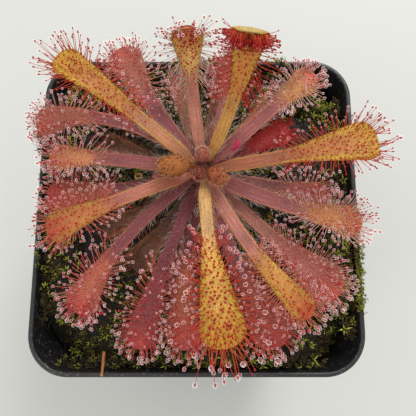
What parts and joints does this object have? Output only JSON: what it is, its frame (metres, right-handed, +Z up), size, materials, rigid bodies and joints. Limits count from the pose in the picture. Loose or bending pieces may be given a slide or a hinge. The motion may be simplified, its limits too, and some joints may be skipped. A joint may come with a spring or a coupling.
{
  "type": "potted sundew",
  "caption": "Rosette sundew with long petioles and spoon-shaped sticky leaves, rooted in peat with moss in a small square black nursery pot.",
  "frame": {"origin": "middle of the pot's underside, on the surface that the pot stands on", "axes": "+Z up; +Y to the back of the pot, where the leaf with the rolled-in tip points; +X to its right"},
  "size_m": [0.0817, 0.0804, 0.0966],
  "materials": {
    "leaf_gold": "satin",
    "leaf_pink": "satin",
    "leaf_mauve": "satin",
    "leaf_maroon": "satin",
    "leaf_dry": "matte",
    "young_leaf": "matte",
    "stem": "matte",
    "dry_stem": "matte",
    "soil": "matte",
    "moss": "matte",
    "pot": "satin"
  },
  "bodies": {
    "root": {"dead_leaf_back_left": "leaf_dry", "dead_leaf_front": "leaf_dry", "dead_leaf_front_left": "leaf_dry", "dead_leaf_left": "leaf_dry", "dry_stalk": "dry_stem", "leaf_back": "leaf_pink", "leaf_back_left": "leaf_gold", "leaf_back_left_inner": "leaf_mauve", "leaf_back_left_low": "leaf_mauve", "leaf_back_low": "leaf_dry", "leaf_back_right": "leaf_gold", "leaf_back_right_low": "leaf_dry", "leaf_back_right_middle": "leaf_mauve", "leaf_front": "leaf_gold", "leaf_front_left": "leaf_maroon", "leaf_front_left_inner": "leaf_maroon", "leaf_front_right": "leaf_gold", "leaf_front_right_inner": "leaf_pink", "leaf_front_right_outer": "leaf_pink", "leaf_left": "leaf_gold", "leaf_left_back": "leaf_mauve", "leaf_left_front": "leaf_maroon", "leaf_left_low": "leaf_pink", "leaf_left_stub": "leaf_maroon", "leaf_right": "leaf_gold", "leaf_right_back": "leaf_mauve", "leaf_right_back_low": "leaf_dry", "leaf_right_front": "leaf_mauve", "leaf_right_low": "leaf_maroon", "leaf_right_red": "leaf_maroon", "moss_back": "moss", "moss_back_left": "moss", "moss_back_right": "moss", "moss_front": "moss", "moss_front_left": "moss", "moss_front_right": "moss", "moss_left": "moss", "moss_right": "moss", "moss_rim_back": "moss", "moss_rim_left": "moss", "pot": "pot", "seed_husk": "dry_stem", "soil": "soil", "stem": "stem", "twig": "dry_stem", "young_leaf_back": "young_leaf", "young_leaf_front": "young_leaf", "young_leaf_left": "young_leaf", "young_leaf_right": "young_leaf"}
  },
  "joints": []
}
